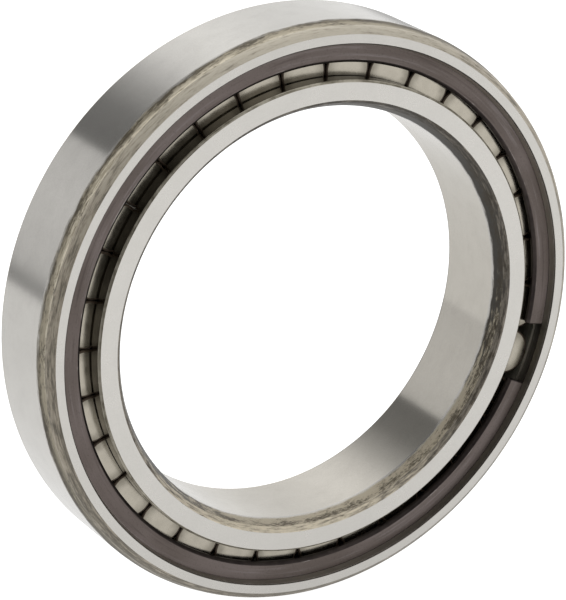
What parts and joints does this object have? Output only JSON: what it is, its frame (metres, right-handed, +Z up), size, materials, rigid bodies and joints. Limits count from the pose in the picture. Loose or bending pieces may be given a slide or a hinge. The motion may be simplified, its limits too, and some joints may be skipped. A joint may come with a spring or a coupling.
{
  "type": "cylindrical roller bearing",
  "caption": "Single-row full-complement cylindrical roller bearing with two steel rings, plain rollers and a split retaining ring.",
  "frame": {"origin": "middle of the bore, half-way across the width", "axes": "Y is the bearing's axis; the front, the side with the retaining ring, faces -Y; +Z is up with the bearing standing on its rim"},
  "size_m": [0.14, 0.024, 0.14],
  "materials": {
    "ring_steel": "ground bearing steel, unground chamfers",
    "roller_steel": "honed rollers with fine-turned ends",
    "phosphated_steel": "matt brown phosphate on spring steel"
  },
  "bodies": {
    "housed_ring": {"outer_ring": "ring_steel", "retaining_ring": "phosphated_steel"},
    "turning_ring": {"inner_ring": "ring_steel"},
    "roller_set": {"roller_01": "roller_steel"},
    "turning_roller_02": {"roller_02": "roller_steel"},
    "turning_roller_03": {"roller_03": "roller_steel"},
    "turning_roller_04": {"roller_04": "roller_steel"},
    "turning_roller_05": {"roller_05": "roller_steel"},
    "turning_roller_06": {"roller_06": "roller_steel"},
    "turning_roller_07": {"roller_07": "roller_steel"},
    "turning_roller_08": {"roller_08": "roller_steel"},
    "turning_roller_09": {"roller_09": "roller_steel"},
    "turning_roller_10": {"roller_10": "roller_steel"},
    "turning_roller_11": {"roller_11": "roller_steel"},
    "turning_roller_12": {"roller_12": "roller_steel"},
    "turning_roller_13": {"roller_13": "roller_steel"},
    "turning_roller_14": {"roller_14": "roller_steel"},
    "turning_roller_15": {"roller_15": "roller_steel"},
    "turning_roller_16": {"roller_16": "roller_steel"},
    "turning_roller_17": {"roller_17": "roller_steel"},
    "turning_roller_18": {"roller_18": "roller_steel"},
    "turning_roller_19": {"roller_19": "roller_steel"},
    "turning_roller_20": {"roller_20": "roller_steel"},
    "turning_roller_21": {"roller_21": "roller_steel"},
    "turning_roller_22": {"roller_22": "roller_steel"},
    "turning_roller_23": {"roller_23": "roller_steel"},
    "turning_roller_24": {"roller_24": "roller_steel"},
    "turning_roller_25": {"roller_25": "roller_steel"},
    "turning_roller_26": {"roller_26": "roller_steel"},
    "turning_roller_27": {"roller_27": "roller_steel"},
    "turning_roller_28": {"roller_28": "roller_steel"},
    "turning_roller_29": {"roller_29": "roller_steel"},
    "turning_roller_30": {"roller_30": "roller_steel"},
    "turning_roller_31": {"roller_31": "roller_steel"},
    "turning_roller_32": {"roller_32": "roller_steel"}
  },
  "joints": [
    {"name": "inner_ring_spin", "type": "hinge", "parent": "housed_ring", "child": "turning_ring", "pos_m": [0, 0, 0], "axis": [0, 1, 0], "continuous": true},
    {"name": "roller_set_orbit", "type": "hinge", "parent": "housed_ring", "child": "roller_set", "pos_m": [0, 0, 0], "axis": [0, 1, 0], "continuous": true},
    {"name": "roller_02_spin", "type": "hinge", "parent": "roller_set", "child": "turning_roller_02", "pos_m": [0.0569, 0, 0.01361], "axis": [0, 1, 0], "continuous": true},
    {"name": "roller_03_spin", "type": "hinge", "parent": "roller_set", "child": "turning_roller_03", "pos_m": [0.05315, 0, 0.02445], "axis": [0, 1, 0], "continuous": true},
    {"name": "roller_04_spin", "type": "hinge", "parent": "roller_set", "child": "turning_roller_04", "pos_m": [0.04736, 0, 0.03434], "axis": [0, 1, 0], "continuous": true},
    {"name": "roller_05_spin", "type": "hinge", "parent": "roller_set", "child": "turning_roller_05", "pos_m": [0.03975, 0, 0.04292], "axis": [0, 1, 0], "continuous": true},
    {"name": "roller_06_spin", "type": "hinge", "parent": "roller_set", "child": "turning_roller_06", "pos_m": [0.03061, 0, 0.04985], "axis": [0, 1, 0], "continuous": true},
    {"name": "roller_07_spin", "type": "hinge", "parent": "roller_set", "child": "turning_roller_07", "pos_m": [0.0203, 0, 0.05487], "axis": [0, 1, 0], "continuous": true},
    {"name": "roller_08_spin", "type": "hinge", "parent": "roller_set", "child": "turning_roller_08", "pos_m": [0.0092, 0, 0.05777], "axis": [0, 1, 0], "continuous": true},
    {"name": "roller_09_spin", "type": "hinge", "parent": "roller_set", "child": "turning_roller_09", "pos_m": [-0.00225, 0, 0.05846], "axis": [0, 1, 0], "continuous": true},
    {"name": "roller_10_spin", "type": "hinge", "parent": "roller_set", "child": "turning_roller_10", "pos_m": [-0.01361, 0, 0.0569], "axis": [0, 1, 0], "continuous": true},
    {"name": "roller_11_spin", "type": "hinge", "parent": "roller_set", "child": "turning_roller_11", "pos_m": [-0.02445, 0, 0.05315], "axis": [0, 1, 0], "continuous": true},
    {"name": "roller_12_spin", "type": "hinge", "parent": "roller_set", "child": "turning_roller_12", "pos_m": [-0.03434, 0, 0.04736], "axis": [0, 1, 0], "continuous": true},
    {"name": "roller_13_spin", "type": "hinge", "parent": "roller_set", "child": "turning_roller_13", "pos_m": [-0.04292, 0, 0.03975], "axis": [0, 1, 0], "continuous": true},
    {"name": "roller_14_spin", "type": "hinge", "parent": "roller_set", "child": "turning_roller_14", "pos_m": [-0.04985, 0, 0.03061], "axis": [0, 1, 0], "continuous": true},
    {"name": "roller_15_spin", "type": "hinge", "parent": "roller_set", "child": "turning_roller_15", "pos_m": [-0.05487, 0, 0.0203], "axis": [0, 1, 0], "continuous": true},
    {"name": "roller_16_spin", "type": "hinge", "parent": "roller_set", "child": "turning_roller_16", "pos_m": [-0.05777, 0, 0.0092], "axis": [0, 1, 0], "continuous": true},
    {"name": "roller_17_spin", "type": "hinge", "parent": "roller_set", "child": "turning_roller_17", "pos_m": [-0.05846, 0, -0.00225], "axis": [0, 1, 0], "continuous": true},
    {"name": "roller_18_spin", "type": "hinge", "parent": "roller_set", "child": "turning_roller_18", "pos_m": [-0.0569, 0, -0.01361], "axis": [0, 1, 0], "continuous": true},
    {"name": "roller_19_spin", "type": "hinge", "parent": "roller_set", "child": "turning_roller_19", "pos_m": [-0.05315, 0, -0.02445], "axis": [0, 1, 0], "continuous": true},
    {"name": "roller_20_spin", "type": "hinge", "parent": "roller_set", "child": "turning_roller_20", "pos_m": [-0.04736, 0, -0.03434], "axis": [0, 1, 0], "continuous": true},
    {"name": "roller_21_spin", "type": "hinge", "parent": "roller_set", "child": "turning_roller_21", "pos_m": [-0.03975, 0, -0.04292], "axis": [0, 1, 0], "continuous": true},
    {"name": "roller_22_spin", "type": "hinge", "parent": "roller_set", "child": "turning_roller_22", "pos_m": [-0.03061, 0, -0.04985], "axis": [0, 1, 0], "continuous": true},
    {"name": "roller_23_spin", "type": "hinge", "parent": "roller_set", "child": "turning_roller_23", "pos_m": [-0.0203, 0, -0.05487], "axis": [0, 1, 0], "continuous": true},
    {"name": "roller_24_spin", "type": "hinge", "parent": "roller_set", "child": "turning_roller_24", "pos_m": [-0.0092, 0, -0.05777], "axis": [0, 1, 0], "continuous": true},
    {"name": "roller_25_spin", "type": "hinge", "parent": "roller_set", "child": "turning_roller_25", "pos_m": [0.00225, 0, -0.05846], "axis": [0, 1, 0], "continuous": true},
    {"name": "roller_26_spin", "type": "hinge", "parent": "roller_set", "child": "turning_roller_26", "pos_m": [0.01361, 0, -0.0569], "axis": [0, 1, 0], "continuous": true},
    {"name": "roller_27_spin", "type": "hinge", "parent": "roller_set", "child": "turning_roller_27", "pos_m": [0.02445, 0, -0.05315], "axis": [0, 1, 0], "continuous": true},
    {"name": "roller_28_spin", "type": "hinge", "parent": "roller_set", "child": "turning_roller_28", "pos_m": [0.03434, 0, -0.04736], "axis": [0, 1, 0], "continuous": true},
    {"name": "roller_29_spin", "type": "hinge", "parent": "roller_set", "child": "turning_roller_29", "pos_m": [0.04292, 0, -0.03975], "axis": [0, 1, 0], "continuous": true},
    {"name": "roller_30_spin", "type": "hinge", "parent": "roller_set", "child": "turning_roller_30", "pos_m": [0.04985, 0, -0.03061], "axis": [0, 1, 0], "continuous": true},
    {"name": "roller_31_spin", "type": "hinge", "parent": "roller_set", "child": "turning_roller_31", "pos_m": [0.05487, 0, -0.0203], "axis": [0, 1, 0], "continuous": true},
    {"name": "roller_32_spin", "type": "hinge", "parent": "roller_set", "child": "turning_roller_32", "pos_m": [0.05777, 0, -0.0092], "axis": [0, 1, 0], "continuous": true}
  ],
  "couplings": [
    {"joint": "roller_set_orbit", "follows": "inner_ring_spin", "ratio": 0.45128},
    {"joint": "roller_02_spin", "follows": "inner_ring_spin", "ratio": -5.0829},
    {"joint": "roller_03_spin", "follows": "inner_ring_spin", "ratio": -5.0829},
    {"joint": "roller_04_spin", "follows": "inner_ring_spin", "ratio": -5.0829},
    {"joint": "roller_05_spin", "follows": "inner_ring_spin", "ratio": -5.0829},
    {"joint": "roller_06_spin", "follows": "inner_ring_spin", "ratio": -5.0829},
    {"joint": "roller_07_spin", "follows": "inner_ring_spin", "ratio": -5.0829},
    {"joint": "roller_08_spin", "follows": "inner_ring_spin", "ratio": -5.0829},
    {"joint": "roller_09_spin", "follows": "inner_ring_spin", "ratio": -5.0829},
    {"joint": "roller_10_spin", "follows": "inner_ring_spin", "ratio": -5.0829},
    {"joint": "roller_11_spin", "follows": "inner_ring_spin", "ratio": -5.0829},
    {"joint": "roller_12_spin", "follows": "inner_ring_spin", "ratio": -5.0829},
    {"joint": "roller_13_spin", "follows": "inner_ring_spin", "ratio": -5.0829},
    {"joint": "roller_14_spin", "follows": "inner_ring_spin", "ratio": -5.0829},
    {"joint": "roller_15_spin", "follows": "inner_ring_spin", "ratio": -5.0829},
    {"joint": "roller_16_spin", "follows": "inner_ring_spin", "ratio": -5.0829},
    {"joint": "roller_17_spin", "follows": "inner_ring_spin", "ratio": -5.0829},
    {"joint": "roller_18_spin", "follows": "inner_ring_spin", "ratio": -5.0829},
    {"joint": "roller_19_spin", "follows": "inner_ring_spin", "ratio": -5.0829},
    {"joint": "roller_20_spin", "follows": "inner_ring_spin", "ratio": -5.0829},
    {"joint": "roller_21_spin", "follows": "inner_ring_spin", "ratio": -5.0829},
    {"joint": "roller_22_spin", "follows": "inner_ring_spin", "ratio": -5.0829},
    {"joint": "roller_23_spin", "follows": "inner_ring_spin", "ratio": -5.0829},
    {"joint": "roller_24_spin", "follows": "inner_ring_spin", "ratio": -5.0829},
    {"joint": "roller_25_spin", "follows": "inner_ring_spin", "ratio": -5.0829},
    {"joint": "roller_26_spin", "follows": "inner_ring_spin", "ratio": -5.0829},
    {"joint": "roller_27_spin", "follows": "inner_ring_spin", "ratio": -5.0829},
    {"joint": "roller_28_spin", "follows": "inner_ring_spin", "ratio": -5.0829},
    {"joint": "roller_29_spin", "follows": "inner_ring_spin", "ratio": -5.0829},
    {"joint": "roller_30_spin", "follows": "inner_ring_spin", "ratio": -5.0829},
    {"joint": "roller_31_spin", "follows": "inner_ring_spin", "ratio": -5.0829},
    {"joint": "roller_32_spin", "follows": "inner_ring_spin", "ratio": -5.0829}
  ]
}
